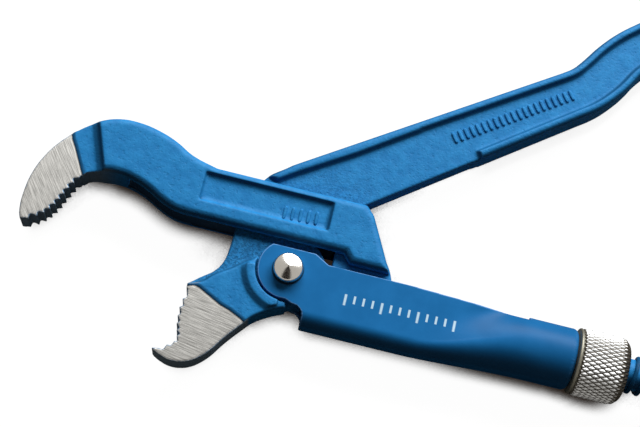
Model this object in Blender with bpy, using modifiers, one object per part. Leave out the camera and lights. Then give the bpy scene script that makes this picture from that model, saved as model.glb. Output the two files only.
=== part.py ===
# Adjustable pipe pliers with S-shaped jaws, lying flat.
# Metres. +X runs along the spindle towards the lower grip, +Y towards the upper grip, +Z up.
# The origin is on the pivot's axis, at the flat on the rear rivet head.
import math

import bmesh
import bpy
from mathutils import Vector

# Clearances and wall sizes
GAP = 0.0003
SHEET = 0.0018
OVERRUN = 0.004
WELD = 0.00001

# Thicknesses, each half of the whole, from the middle plane of the tool
NECK_HALF = 0.0037
JAW_HALF = 0.0050
RIDGE_HALF = 0.0061
RIM_HALF = 0.0054
ARM_HALF = 0.0074

# Pivot
PIVOT_R = 0.0030
HEAD_R = 0.0046
HEAD_HEIGHT = 0.0044
HEAD_FLAT_R = 0.0010
EAR_R = 0.0090
POCKET_R = 0.0097
POCKET_SIDES = 72
BOSS_R = 0.0118
BOSS_TOP = 78.0
BOSS_FOOT = -52.0

# Upper lever: arm, jaw, leg and spindle
SPINDLE_DROP = 0.0047
ARM_UNDER = 0.0090
ARM_HEIGHT = 0.0163
ARM_FRONT = 0.0320
ARM_BACK = 0.0300
UPPER_JAW_LENGTH = 0.0500
UPPER_JAW_HEIGHT = 0.0400
ARM_EDGE = 0.0019
PANEL_LENGTH = 0.0400
PANEL_HEIGHT = 0.0095
PANEL_DEPTH = 0.0014
PANEL_FOOT = 0.0048
PANEL_BACK = 0.0090
SHANK_HEIGHT = 0.0096
SHANK_END = 0.0605
THREAD_R = 0.0056
THREAD_END = 0.1180
TRAVEL = 0.0210
SLOT_SPARE = 0.0134

# Lower lever: neck, jaw and ridge
NECK_FRONT = 0.0186
LOWER_JAW_LENGTH = 0.0400
LOWER_JAW_HEIGHT = 0.0400
RIDGE_WIDTH = 0.0023
RIDGE_SLOPE = 0.0026
RIDGE_INSET = 0.0010
RIDGE_START = 183.0
RIDGE_STOP = 266.0
JAW_EDGE = 0.0007
GROUND_DEPTH = 0.0004
SQUEEZE_ANGLE = math.radians(25.0)
SPREAD_ANGLE = math.radians(1.0)

# Teeth
UPPER_TEETH = 10
UPPER_TOOTH_DEPTH = 0.0013
LOWER_TEETH = 7
LOWER_TOOTH_DEPTH = 0.0010
TIP_TEETH = 3
TIP_TOOTH_DEPTH = 0.0009
TOOTH_LEAN_SHARE = 0.3

# Grips
GRIP_ANGLE = math.radians(36.0)
GRIP_REACH = 0.1680
GRIP_HEIGHT = 0.0360
LOWER_GRIP_REACH = 0.0520
LOWER_GRIP_HEIGHT = 0.0360
GRIP_EDGE = 0.0013
GRIP_RIM = 0.0022
WEB_SLOPE = 0.0016
WEB_BITE = 0.0004
WEB_INSET = 0.0002

# Sleeve
CHANNEL_FLOOR = 0.0154
CHANNEL_TOP = 0.0042
CHANNEL_CORNER_R = 0.0044
EAR_TOP = 0.0067
EAR_STEP = 0.0045
EAR_BACK = 0.0070
TUBE_R = 0.0093
TUBE_START = 0.0760
SLEEVE_END = 0.0885
SEAM_START = 0.0735
EDGE_FALL = 0.0380
EDGE_END = 0.0030
BLEND_START = 0.0300
EDGE_BLEND_START = 0.0560
SEAM = 0.0010
LIP_LENGTH = 0.0012
LIP_DEPTH = 0.0004
SLEEVE_SIDE = -1.0
EAR_ARC_FOOT = 278.0
EAR_ARC_TOP = 132.0
MOUTH_BACK = 0.0071
MOUTH_DEPTH = 0.0126

# Nut
NUT_R = 0.0104
NUT_LENGTH = 0.0157
NUT_CHAMFER = 0.0012
NUT_BAND = 0.0014
COLLAR_LENGTH = 0.0030

# Heights that follow
EAR_INNER = NECK_HALF + GAP
EAR_OUTER = EAR_INNER + SHEET
MIDDLE = EAR_OUTER + GAP + HEAD_HEIGHT

# Outlines, as shares of the sizes named with them.
# The upper jaw is measured from the front end of the arm's underside: forwards, then up.
UPPER_JAW_BACK_SHARES = [
    (0.970, -0.335), (0.990, -0.265), (0.997, -0.100), (0.982, 0.045), (0.945, 0.180), (0.880, 0.320),
    (0.785, 0.450), (0.680, 0.548), (0.566, 0.605), (0.440, 0.615), (0.310, 0.588), (0.190, 0.535), (0.080, 0.462)]
UPPER_JAW_THROAT_SHARES = [
    (0.110, 0.012), (0.200, 0.055), (0.300, 0.120), (0.400, 0.164), (0.490, 0.178), (0.600, 0.160), (0.665, 0.137)]
UPPER_MOUTH_SHARES = [(0.687, 0.105), (0.722, -0.020), (0.745, -0.240), (0.840, -0.330), (0.950, -0.370)]
UPPER_BITE_SHARES = [(0.690, 0.100), (0.785, -0.052), (0.758, -0.255), (0.965, -0.330)]
UPPER_MOUTH_CUT_SHARES = [(1.040, -0.345), (1.040, -0.560), (0.560, -0.560), (0.560, -0.025)]
HEAD_CUT_SHARES = [(0.523, 0.050), (0.523, -0.600), (1.200, -0.600), (1.200, 0.900), (0.781, 0.900)]
UPPER_GROUND_SHARES = [
    (0.640, 0.020), (0.767, 0.307), (0.800, 0.372), (0.835, 0.500), (1.200, 0.500), (1.200, -0.600),
    (0.640, -0.600)]
# The arm's rear end and its leg: shares of the arm's length behind the pivot, and of its height
# above its underside.
TOP_FRONT_SHARE = 0.87
ARM_BACK_SHARES = [(0.620, 1.000), (0.710, 0.830), (0.830, 0.400), (0.985, -0.165), (0.580, -0.165), (0.500, 0.000)]
LEG_INNER_SHARES = [
    (0.395, 0.120), (0.395, -0.150), (0.405, -0.330), (0.480, -0.600), (0.610, -0.850), (0.800, -1.020),
    (1.000, -1.110)]
LEG_OUTER_SHARES = [(1.100, -0.560), (1.060, -0.450), (1.030, -0.270), (0.980, -0.050), (0.860, 0.250)]
# The spindle's rounded end: shares of its radius, out and beyond the thread.
SPINDLE_END_SHARES = [(0.0, 1.0), (0.5, 0.8), (0.9, 0.33), (1.0, 0.0)]

# The lower jaw is measured from the pivot: forwards, then down.
LOWER_JAW_OUTER_SHARES = [
    (0.804, 0.824), (0.760, 0.846), (0.680, 0.868), (0.595, 0.862), (0.520, 0.832), (0.460, 0.785),
    (0.400, 0.718), (0.350, 0.640), (0.290, 0.557), (0.230, 0.482), (0.170, 0.412), (0.105, 0.362),
    (0.040, 0.322), (-0.050, 0.280)]
LOWER_JAW_STEP_SHARES = [
    (0.240, -0.045), (0.325, 0.015), (0.418, 0.092), (0.515, 0.158), (0.612, 0.248), (0.695, 0.275)]
LOWER_JAW_BROW_SHARES = [(0.700, 0.272), (0.618, 0.198), (0.530, 0.125), (0.485, 0.050)]
LOWER_MOUTH_SHARES = [(0.692, 0.290), (0.690, 0.335), (0.780, 0.420), (0.780, 0.640), (0.860, 0.780)]
LOWER_BITE_SHARES = [(0.672, 0.308), (0.738, 0.470), (0.690, 0.640), (0.660, 0.700)]
TIP_BITE_SHARES = [(0.660, 0.708), (0.700, 0.735), (0.760, 0.795), (0.798, 0.820)]
LOWER_MOUTH_CUT_SHARES = [(1.000, 0.840), (1.000, 0.308)]
LOWER_GROUND_SHARES = [
    (1.000, 0.300), (0.700, 0.290), (0.640, 0.268), (0.597, 0.278), (0.510, 0.322), (0.423, 0.366), (0.341, 0.392),
    (0.255, 0.430), (0.150, 0.490), (0.150, 1.000), (1.000, 1.000)]
LOWER_WEB_SHARES = [(-0.030, 0.275), (0.250, 0.450), (0.480, 0.680), (0.590, 0.550), (0.620, 0.320)]
# The neck's front edge: shares of its distance before the pivot, and of the arm's top above the pivot.
NECK_FRONT_SHARES = [
    (1.000, 0.120), (0.990, 0.356), (0.935, 0.632), (0.828, 0.889), (0.683, 1.090), (0.457, 1.225), (0.376, 1.262)]

# The sleeve's mouth below the ear: shares of its distance behind the pivot, and of its depth below.
MOUTH_SHARES = [(0.480, -0.778), (0.720, -0.794), (0.880, -0.857), (0.970, -0.929), (1.000, -1.000)]

# The grips are measured along their own axis from the pivot: along, then across.
GRIP_EDGE_LINE_SHARES = [(0.040, 0.262), (0.610, 0.325)]
GRIP_RIM_START_SHARES = [(0.048, 0.735), (0.036, 0.815), (0.085, 0.833)]
GRIP_RIM_FOOT_SHARES = [(0.395, 0.301), (0.330, 0.420)]
GRIP_RECESS_END_SHARES = [(0.300, 0.804), (0.360, 0.297)]
GRIP_PASS_SHARES = [
    (-0.150, 0.775), (0.088, 0.761), (0.200, 0.735), (0.400, 0.733), (0.412, 0.400), (0.412, 0.150),
    (-0.150, 0.150)]
GRIP_TOP_SHARES = [
    (0.620, 0.764), (0.644, 0.768), (0.668, 0.800), (0.710, 0.872), (0.757, 0.925), (0.803, 0.947),
    (0.860, 0.968), (0.915, 0.988), (0.955, 0.985)]
GRIP_END_SHARES = [(0.985, 0.930), (1.000, 0.800), (0.988, 0.670)]
GRIP_UNDER_SHARES = [
    (0.955, 0.596), (0.900, 0.575), (0.845, 0.562), (0.800, 0.535), (0.755, 0.480), (0.727, 0.422),
    (0.700, 0.378), (0.655, 0.333), (0.610, 0.325)]
LOWER_GRIP_TOP_SHARES = [
    (-0.025, 0.138), (0.070, 0.215), (0.170, 0.250), (0.300, 0.310), (0.440, 0.395), (0.600, 0.445),
    (0.780, 0.462)]
LOWER_GRIP_END_SHARES = [(0.930, 0.410), (1.000, 0.255), (0.940, 0.095)]
LOWER_GRIP_UNDER_SHARES = [
    (0.800, 0.045), (0.640, 0.035), (0.500, 0.010), (0.360, -0.065), (0.240, -0.155), (0.120, -0.195),
    (0.040, -0.185), (-0.025, -0.138)]


def clear_scene():
    for old in list(bpy.data.objects):
        bpy.data.objects.remove(old, do_unlink=True)


def new_collection(name):
    made = bpy.data.collections.new(name)
    bpy.context.scene.collection.children.link(made)
    return made


clear_scene()
PARTS = new_collection("adjustable_pliers")
TOOLS = new_collection("cutters")


def material(name, colour, roughness, metallic):
    made = bpy.data.materials.new(name)
    made.use_nodes = True
    shader = made.node_tree.nodes["Principled BSDF"]
    shader.inputs["Base Color"].default_value = (*colour, 1.0)
    shader.inputs["Roughness"].default_value = roughness
    shader.inputs["Metallic"].default_value = metallic
    return made


def add_mesh(name, mesh, place=TOOLS):
    made = bpy.data.objects.new(name, mesh)
    place.objects.link(made)
    if place is TOOLS:
        made.hide_render = True
        made.display_type = "WIRE"
    return made


def curve_to_mesh(curve_object, name):
    bpy.context.view_layer.update()
    graph = bpy.context.evaluated_depsgraph_get()
    mesh = bpy.data.meshes.new_from_object(curve_object.evaluated_get(graph))
    work = bmesh.new()
    work.from_mesh(mesh)
    bmesh.ops.remove_doubles(work, verts=work.verts, dist=WELD)
    work.to_mesh(mesh)
    work.free()
    place = curve_object.matrix_world.copy()
    bpy.data.objects.remove(curve_object, do_unlink=True)
    made = add_mesh(name, mesh)
    made.matrix_world = place
    return made


def plate(name, runs, half, edge=0.0, middle=0.0, inset=0.0, steps=4):
    """A flat outline with thickness. Each run is (points, smooth); its ends are corners."""
    curve = bpy.data.curves.new(name, "CURVE")
    curve.dimensions = "2D"
    curve.fill_mode = "BOTH"
    curve.resolution_u = steps
    curve.extrude = half - edge
    curve.bevel_depth = edge
    curve.offset = -edge - inset
    curve.bevel_resolution = 1
    marks = []
    for points, smooth in runs:
        last = len(points) - 1
        for index, point in enumerate(points):
            inner = smooth and 0 < index < last
            marks.append((point, "AUTO" if inner else "VECTOR"))
    spline = curve.splines.new("BEZIER")
    spline.bezier_points.add(len(marks) - 1)
    for knot, (point, handle) in zip(spline.bezier_points, marks):
        knot.co = (point[0], point[1], 0.0)
        knot.handle_left_type = handle
        knot.handle_right_type = handle
    spline.use_cyclic_u = True
    drawn = bpy.data.objects.new(name, curve)
    TOOLS.objects.link(drawn)
    drawn.location = (0.0, 0.0, middle)
    return curve_to_mesh(drawn, name)


def turned(name, profile, centre, axis, segments=48, closed=False):
    """A turned solid: profile points are (radius, height) down the outer side; a ring's profile is closed."""
    mesh = bpy.data.meshes.new(name)
    points = [(radius, 0.0, height) for radius, height in profile]
    edges = [(index, index + 1) for index in range(len(points) - 1)]
    if closed:
        edges.append((len(points) - 1, 0))
    mesh.from_pydata(points, edges, [])
    made = add_mesh(name, mesh)
    made.location = centre
    made.rotation_euler = axis
    screw = made.modifiers.new("turn", "SCREW")
    screw.axis = "Z"
    screw.angle = math.tau
    screw.steps = segments
    screw.render_steps = segments
    screw.use_merge_vertices = True
    screw.merge_threshold = WELD
    screw.use_smooth_shade = False
    return made


def boolean(target, other, kind):
    step = target.modifiers.new(other.name, "BOOLEAN")
    step.operation = kind
    step.object = other
    step.solver = "EXACT"


def cut(target, other):
    boolean(target, other, "DIFFERENCE")


def join(target, other):
    boolean(target, other, "UNION")


def keep(target, other):
    boolean(target, other, "INTERSECT")


def finish(made, name, finish_material):
    TOOLS.objects.unlink(made)
    PARTS.objects.link(made)
    made.hide_render = False
    made.display_type = "TEXTURED"
    made.name = name
    made.data.materials.clear()
    made.data.materials.append(finish_material)
    return made


def bezier(controls, share):
    left = 1.0 - share
    weights = (left ** 3, 3 * left * left * share, 3 * left * share * share, share ** 3)
    across = sum(weight * point[0] for weight, point in zip(weights, controls))
    up = sum(weight * point[1] for weight, point in zip(weights, controls))
    return Vector((across, up))


def saw_line(controls, count, depth, side):
    """Tooth tips on a curve, with notches behind it. side is 1 or -1, the way to the notches."""
    points = []
    for tooth in range(count):
        start = tooth / count
        tip = (tooth + TOOTH_LEAN_SHARE) / count
        ahead = bezier(controls, min(start + 0.5 / count, 1.0)) - bezier(controls, start)
        inward = Vector((-ahead.y, ahead.x)).normalized() * side
        points.append(tuple(bezier(controls, start) + inward * depth))
        points.append(tuple(bezier(controls, tip)))
    return points


# Shared places
def upper_jaw_point(share):
    return (-ARM_FRONT - share[0] * UPPER_JAW_LENGTH, ARM_UNDER + share[1] * UPPER_JAW_HEIGHT)


def lower_jaw_point(share):
    return (-share[0] * LOWER_JAW_LENGTH, -share[1] * LOWER_JAW_HEIGHT)


def grip_point(share):
    along = share[0] * GRIP_REACH
    across = share[1] * GRIP_HEIGHT
    return (along * math.cos(GRIP_ANGLE) - across * math.sin(GRIP_ANGLE),
            along * math.sin(GRIP_ANGLE) + across * math.cos(GRIP_ANGLE))


def lower_grip_point(share):
    return (THREAD_END + share[0] * LOWER_GRIP_REACH, -SPINDLE_DROP - share[1] * LOWER_GRIP_HEIGHT)


def arc(radius, start, end, count):
    """Points on a circle about the pivot, angles in degrees."""
    spread = [math.radians(start + (end - start) * step / count) for step in range(count + 1)]
    return [(radius * math.cos(angle), radius * math.sin(angle)) for angle in spread]


def turn(point, angle):
    return (point[0] * math.cos(angle) - point[1] * math.sin(angle),
            point[0] * math.sin(angle) + point[1] * math.cos(angle))


ALONG_X = (0.0, math.pi / 2, 0.0)
UPRIGHT = (0.0, 0.0, 0.0)
ARM_TOP = ARM_UNDER + ARM_HEIGHT
AXIS_Y = -SPINDLE_DROP
REAR_WALL = BOSS_R + 2 * GAP
SLOT_FRONT = -(NECK_FRONT + TRAVEL + ARM_TOP * math.sin(SPREAD_ANGLE) + SLOT_SPARE)


def mirrored_cut(target, name, runs, floor, face, inset=0.0):
    """Cuts both sides of a plate from face down to floor. Its walls slope to just past the face."""
    slope = face - floor + GAP
    half = (slope + OVERRUN) / 2
    for side, label in ((1, "front"), (-1, "back")):
        cut(target, plate(name + "_" + label, runs, half, edge=slope, middle=side * (floor + half), inset=inset))


def rims(name, runs, recess_runs):
    """The raised rims of a grip. The recess between them goes deeper than the web that fills it."""
    made = plate(name, runs, RIM_HALF, edge=GRIP_EDGE)
    mirrored_cut(made, name + "_recess", recess_runs, NECK_HALF - WEB_BITE, NECK_HALF + WEB_SLOPE, inset=GRIP_RIM)
    return made


def upper_lever():
    back = [upper_jaw_point(share) for share in UPPER_JAW_BACK_SHARES]
    throat = [upper_jaw_point(share) for share in UPPER_JAW_THROAT_SHARES]
    mouth = [upper_jaw_point(share) for share in UPPER_MOUTH_SHARES]
    end = [(share[0] * ARM_BACK, ARM_UNDER + share[1] * ARM_HEIGHT) for share in ARM_BACK_SHARES]
    top_front = (-ARM_FRONT * TOP_FRONT_SHARE, ARM_TOP)
    under_front = (-ARM_FRONT, ARM_UNDER)
    lever = plate("arm", [(back + [top_front], True), (end, False), ([under_front] + throat, True),
                          (mouth, True)], ARM_HALF, edge=ARM_EDGE)

    head = [upper_jaw_point(share) for share in HEAD_CUT_SHARES]
    mirrored_cut(lever, "jaw_head", [(head, False)], JAW_HALF, ARM_HALF)
    ground = [upper_jaw_point(share) for share in UPPER_GROUND_SHARES]
    mirrored_cut(lever, "upper_ground", [(ground, False)], JAW_HALF - GROUND_DEPTH, JAW_HALF)

    low = ARM_UNDER + PANEL_FOOT
    high = low + PANEL_HEIGHT
    front = PANEL_BACK - PANEL_LENGTH
    panel = [(front, low), (PANEL_BACK, low), (PANEL_BACK, high), (front, high)]
    mirrored_cut(lever, "panel", [(panel, False)], ARM_HALF - PANEL_DEPTH, ARM_HALF)

    inner = [(share[0] * ARM_BACK, ARM_UNDER + share[1] * ARM_HEIGHT) for share in LEG_INNER_SHARES]
    outer = [(share[0] * ARM_BACK, ARM_UNDER + share[1] * ARM_HEIGHT) for share in LEG_OUTER_SHARES]
    half_shank = SHANK_HEIGHT / 2
    shank = [(SHANK_END, AXIS_Y - half_shank), (SHANK_END, AXIS_Y + half_shank)]
    inner.append((outer[0][0], AXIS_Y - half_shank))
    outer[0] = (outer[0][0], AXIS_Y + half_shank)
    join(lever, plate("leg", [(inner, True), (shank, False), (outer, True)], NECK_HALF, edge=GRIP_EDGE / 2))

    cone = THREAD_R - NECK_HALF
    spindle = [(THREAD_R * radius, THREAD_END + THREAD_R * height) for radius, height in SPINDLE_END_SHARES]
    spindle += [(THREAD_R, SHANK_END + cone), (NECK_HALF - GAP, SHANK_END - GAP), (0.0, SHANK_END - GAP)]
    join(lever, turned("spindle", spindle, (0.0, AXIS_Y, 0.0), ALONG_X, segments=40))

    top = [lower_grip_point(share) for share in LOWER_GRIP_TOP_SHARES]
    cap = [lower_grip_point(share) for share in LOWER_GRIP_END_SHARES]
    under = [lower_grip_point(share) for share in LOWER_GRIP_UNDER_SHARES]
    runs = [(top + cap + under, True)]
    join(lever, plate("lower_web", runs, NECK_HALF, inset=WEB_INSET))
    recess = [(top[1:] + cap + under[:-2], True)]
    join(lever, rims("lower_rims", runs, recess))

    seat = [turn(grip_point(share), -SQUEEZE_ANGLE) for share in GRIP_EDGE_LINE_SHARES]
    rise = (seat[1][1] - seat[0][1]) / (seat[1][0] - seat[0][0])
    at_wall = seat[0][1] + (REAR_WALL - seat[0][0]) * rise - 2 * GAP
    high = ARM_UNDER + UPPER_JAW_HEIGHT
    slot = [(SLOT_FRONT, 0.0), (REAR_WALL, 0.0), (REAR_WALL, at_wall), (seat[1][0], seat[1][1] - 2 * GAP),
            (seat[1][0], high), (SLOT_FRONT, high)]
    cut(lever, plate("slot", [(slot, False)], NECK_HALF + GAP))

    bite = [upper_jaw_point(share) for share in UPPER_BITE_SHARES]
    saw = saw_line(bite, UPPER_TEETH, UPPER_TOOTH_DEPTH, -1)
    around = [upper_jaw_point(share) for share in UPPER_MOUTH_CUT_SHARES]
    cut(lever, plate("upper_saw", [(saw + around, False)], ARM_HALF + OVERRUN))
    return finish(lever, "upper_jaw_lever", PAINT)


def lower_lever():
    outer = [lower_jaw_point(share) for share in LOWER_JAW_OUTER_SHARES]
    step = [lower_jaw_point(share) for share in LOWER_JAW_STEP_SHARES]
    mouth = [lower_jaw_point(share) for share in LOWER_MOUTH_SHARES]
    runs = [(outer, True), ([(0.0, 0.0)], False), (step, True), (mouth, False)]
    jaw = plate("jaw_plate", runs, JAW_HALF, edge=JAW_EDGE)

    inner_r = POCKET_R - GAP
    top_r = POCKET_R + RIDGE_WIDTH
    foot_r = top_r + RIDGE_SLOPE
    foot = JAW_HALF - GAP
    ring = [(inner_r, RIDGE_HALF), (top_r, RIDGE_HALF), (foot_r, foot), (foot_r, -foot), (top_r, -RIDGE_HALF),
            (inner_r, -RIDGE_HALF)]
    ridge = turned("ridge", ring, (0.0, 0.0, 0.0), UPRIGHT, segments=POCKET_SIDES, closed=True)
    sector = [(0.0, 0.0)] + arc(foot_r * 2, RIDGE_START, RIDGE_STOP, 4)
    keep(ridge, plate("ridge_sector", [(sector, False)], RIDGE_HALF + OVERRUN))
    keep(ridge, plate("ridge_bounds", runs, RIDGE_HALF + OVERRUN, inset=RIDGE_INSET))
    join(jaw, ridge)
    ground = [lower_jaw_point(share) for share in LOWER_GROUND_SHARES]
    mirrored_cut(jaw, "lower_ground", [(ground, False)], JAW_HALF - GROUND_DEPTH, JAW_HALF)
    pocket = [(POCKET_R, RIDGE_HALF + OVERRUN), (POCKET_R, -RIDGE_HALF - OVERRUN)]
    ends = [(0.0, pocket[0][1])] + pocket + [(0.0, pocket[1][1])]
    between_sides = (0.0, 0.0, math.pi / POCKET_SIDES)
    cut(jaw, turned("pocket", ends, (0.0, 0.0, 0.0), between_sides, segments=POCKET_SIDES))

    brow = [lower_jaw_point(share) for share in LOWER_JAW_BROW_SHARES]
    neck = [(-share[0] * NECK_FRONT, share[1] * ARM_TOP) for share in NECK_FRONT_SHARES]
    boss = arc(BOSS_R, BOSS_TOP, BOSS_FOOT, 12)
    inside = [lower_jaw_point(share) for share in LOWER_WEB_SHARES]
    top = [grip_point(share) for share in GRIP_TOP_SHARES]
    cap = [grip_point(share) for share in GRIP_END_SHARES]
    under = [grip_point(share) for share in GRIP_UNDER_SHARES]
    web = plate("web", [(brow + neck, True), (top + cap + under, True),
                        ([grip_point(GRIP_EDGE_LINE_SHARES[0])], False), (boss, False), (inside, False)],
                NECK_HALF, inset=WEB_INSET)
    join(web, jaw)

    start = [grip_point(share) for share in GRIP_RIM_START_SHARES]
    foot_of_rim = [grip_point(share) for share in GRIP_RIM_FOOT_SHARES]
    first, last = [grip_point(share) for share in GRIP_RECESS_END_SHARES]
    grip = rims("upper_rims", [(start, False), (top + cap + under, True), (foot_of_rim, False)],
                [([first], False), (top + cap + under, True), ([last], False)])
    way = [grip_point(share) for share in GRIP_PASS_SHARES]
    mirrored_cut(grip, "upper_pass", [(way, False)], NECK_HALF - WEB_BITE, NECK_HALF + WEB_SLOPE)
    join(web, grip)

    bite = [lower_jaw_point(share) for share in LOWER_BITE_SHARES]
    tip = [lower_jaw_point(share) for share in TIP_BITE_SHARES]
    saw = saw_line(bite, LOWER_TEETH, LOWER_TOOTH_DEPTH, 1) + saw_line(tip, TIP_TEETH, TIP_TOOTH_DEPTH, 1)
    around = [lower_jaw_point(share) for share in LOWER_MOUTH_CUT_SHARES]
    cut(web, plate("lower_saw", [(saw + around, False)], ARM_HALF + OVERRUN))
    cut(web, pivot_hole("lever_hole"))
    return finish(web, "lower_jaw_lever", PAINT)


def pivot_hole(name):
    bore = PIVOT_R + GAP
    reach = EAR_OUTER + OVERRUN
    return turned(name, [(0.0, reach), (bore, reach), (bore, -reach), (0.0, -reach)], (0.0, 0.0, 0.0),
                  UPRIGHT, segments=32)


def channel_section(points):
    """Half of the channel, from the middle of its floor up its side: (across, up)."""
    centre_z = EAR_OUTER - CHANNEL_CORNER_R
    centre_y = -CHANNEL_FLOOR + CHANNEL_CORNER_R
    section = [(0.0, -CHANNEL_FLOOR)]
    corner = points // 2
    for step in range(corner + 1):
        angle = math.pi / 2 * step / corner
        section.append((centre_z + CHANNEL_CORNER_R * math.sin(angle),
                        centre_y - CHANNEL_CORNER_R * math.cos(angle)))
    rest = points - corner - 1
    for step in range(1, rest + 1):
        section.append((EAR_OUTER, centre_y + (EAR_TOP + GAP - centre_y) * step / rest))
    return section


def tube_section(points):
    """Half of the tube, from its lowest line round to the seam."""
    turn_end = math.pi - math.asin(SEAM / 2 / TUBE_R)
    return [(TUBE_R * math.sin(turn_end * step / points), AXIS_Y - TUBE_R * math.cos(turn_end * step / points))
            for step in range(points + 1)]


def sleeve():
    points = 14
    channel = channel_section(points)
    tube = tube_section(points)
    start = -EAR_R - OVERRUN
    straight = [start, BLEND_START / 3]
    blend = [BLEND_START + (TUBE_START - BLEND_START) * step / 12 for step in range(13)]
    stations = straight + blend + [SLEEVE_END]
    work = bmesh.new()
    rows = []
    for x in stations:
        row = []
        for index, (near, far) in enumerate(zip(channel, tube)):
            begin = BLEND_START + (EDGE_BLEND_START - BLEND_START) * (index / points) ** 3
            share = min(max((x - begin) / (TUBE_START - begin), 0.0), 1.0)
            share = share * share * (3 - 2 * share)
            across = near[0] + (far[0] - near[0]) * share
            up = near[1] + (far[1] - near[1]) * share
            row.append(work.verts.new((x, up, across)))
        rows.append(row)
    for row, following in zip(rows, rows[1:]):
        for index in range(points):
            work.faces.new((row[index], row[index + 1], following[index + 1], following[index]))
    bmesh.ops.recalc_face_normals(work, faces=work.faces)
    mesh = bpy.data.meshes.new("sleeve_sheet")
    work.to_mesh(mesh)
    work.free()
    shell = add_mesh("sleeve_sheet", mesh)
    mirror = shell.modifiers.new("halves", "MIRROR")
    mirror.use_axis = (False, False, True)
    mirror.merge_threshold = WELD
    wall = shell.modifiers.new("sheet", "SOLIDIFY")
    wall.thickness = SHEET
    wall.offset = SLEEVE_SIDE
    wall.use_even_offset = True

    lip_r = TUBE_R - SHEET - LIP_DEPTH
    lip_back = SLEEVE_END - LIP_LENGTH
    lip = [(TUBE_R - SHEET / 2, SLEEVE_END - GAP), (TUBE_R - SHEET / 2, lip_back), (lip_r, lip_back),
           (lip_r, SLEEVE_END - GAP)]
    join(shell, turned("lip", lip, (0.0, AXIS_Y, 0.0), ALONG_X, segments=48, closed=True))

    ear = arc(EAR_R, EAR_ARC_FOOT, EAR_ARC_TOP, 16)
    floor = -CHANNEL_FLOOR - OVERRUN
    back = SLEEVE_END + OVERRUN
    high = EAR_TOP + OVERRUN
    mouth = [(share[0] * MOUTH_BACK, share[1] * MOUTH_DEPTH) for share in MOUTH_SHARES]
    blank = [(MOUTH_BACK, floor), (back, floor), (back, high), (SEAM_START, high), (SEAM_START, EDGE_END),
             (EDGE_FALL, CHANNEL_TOP), (EAR_BACK + EAR_STEP, CHANNEL_TOP), (EAR_BACK, EAR_TOP)]
    ear.reverse()
    keep(shell, plate("sleeve_blank", [(mouth + blank + ear, False)], TUBE_R + OVERRUN))
    cut(shell, pivot_hole("ear_hole"))
    return finish(shell, "sleeve", PAINT_DARK)


def rivet():
    base = EAR_OUTER + GAP
    steps = 7
    dome = []
    for step in range(steps + 1):
        angle = math.pi / 2 * (1 - step / steps)
        dome.append((HEAD_FLAT_R + (HEAD_R - HEAD_FLAT_R) * math.cos(angle), base + HEAD_HEIGHT * math.sin(angle)))
    front = [(0.0, base + HEAD_HEIGHT)] + dome + [(PIVOT_R, base)]
    back = [(radius, -height) for radius, height in reversed(front)]
    made = turned("rivet_blank", front + back, (0.0, 0.0, 0.0), UPRIGHT, segments=36)
    return finish(made, "pivot_rivet", POLISHED)


def nut():
    bore = THREAD_R + GAP
    collar_r = TUBE_R - SHEET - GAP
    groove_r = TUBE_R - SHEET - LIP_DEPTH - GAP
    face = SLEEVE_END + GAP
    collar_front = SLEEVE_END - LIP_LENGTH - GAP
    end = face + NUT_LENGTH
    profile = [(bore, end), (NUT_R - NUT_CHAMFER, end), (NUT_R, end - NUT_CHAMFER),
               (NUT_R, face + NUT_BAND + NUT_CHAMFER), (NUT_R - NUT_CHAMFER, face + NUT_CHAMFER / 3),
               (NUT_R - NUT_CHAMFER, face), (groove_r, face), (groove_r, collar_front), (collar_r, collar_front),
               (collar_r, collar_front - COLLAR_LENGTH), (bore, collar_front - COLLAR_LENGTH)]
    made = turned("nut_blank", profile, (0.0, AXIS_Y, 0.0), ALONG_X, segments=48, closed=True)
    return finish(made, "adjusting_nut", STEEL)


PAINT = material("blue_paint", (0.03, 0.22, 0.50), 0.45, 0.0)
PAINT_DARK = material("sleeve_paint", (0.025, 0.18, 0.43), 0.4, 0.0)
STEEL = material("bright_steel", (0.62, 0.62, 0.61), 0.3, 1.0)
POLISHED = material("polished_steel", (0.75, 0.74, 0.72), 0.15, 1.0)

pieces = [upper_lever(), lower_lever(), sleeve(), rivet(), nut()]
for piece in pieces:
    piece.location.z += MIDDLE
for tool in TOOLS.objects:
    tool.location.z += MIDDLE
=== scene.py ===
import math

import bmesh
import bpy
import numpy as np
from mathutils import Matrix, Vector


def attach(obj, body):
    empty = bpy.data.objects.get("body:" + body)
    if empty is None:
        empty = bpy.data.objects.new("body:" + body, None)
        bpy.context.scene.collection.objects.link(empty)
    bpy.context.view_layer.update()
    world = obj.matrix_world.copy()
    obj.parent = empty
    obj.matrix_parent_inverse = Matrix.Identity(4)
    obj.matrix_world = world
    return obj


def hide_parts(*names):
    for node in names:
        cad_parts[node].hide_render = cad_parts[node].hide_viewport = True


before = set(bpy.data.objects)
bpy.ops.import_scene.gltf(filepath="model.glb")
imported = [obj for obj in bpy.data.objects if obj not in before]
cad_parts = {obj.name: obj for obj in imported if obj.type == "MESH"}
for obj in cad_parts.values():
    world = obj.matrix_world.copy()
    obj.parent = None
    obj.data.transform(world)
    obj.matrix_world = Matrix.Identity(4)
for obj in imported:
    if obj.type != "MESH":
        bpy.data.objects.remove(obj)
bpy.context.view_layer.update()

MM = 0.001
PER_METRE = 1000.0

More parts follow.
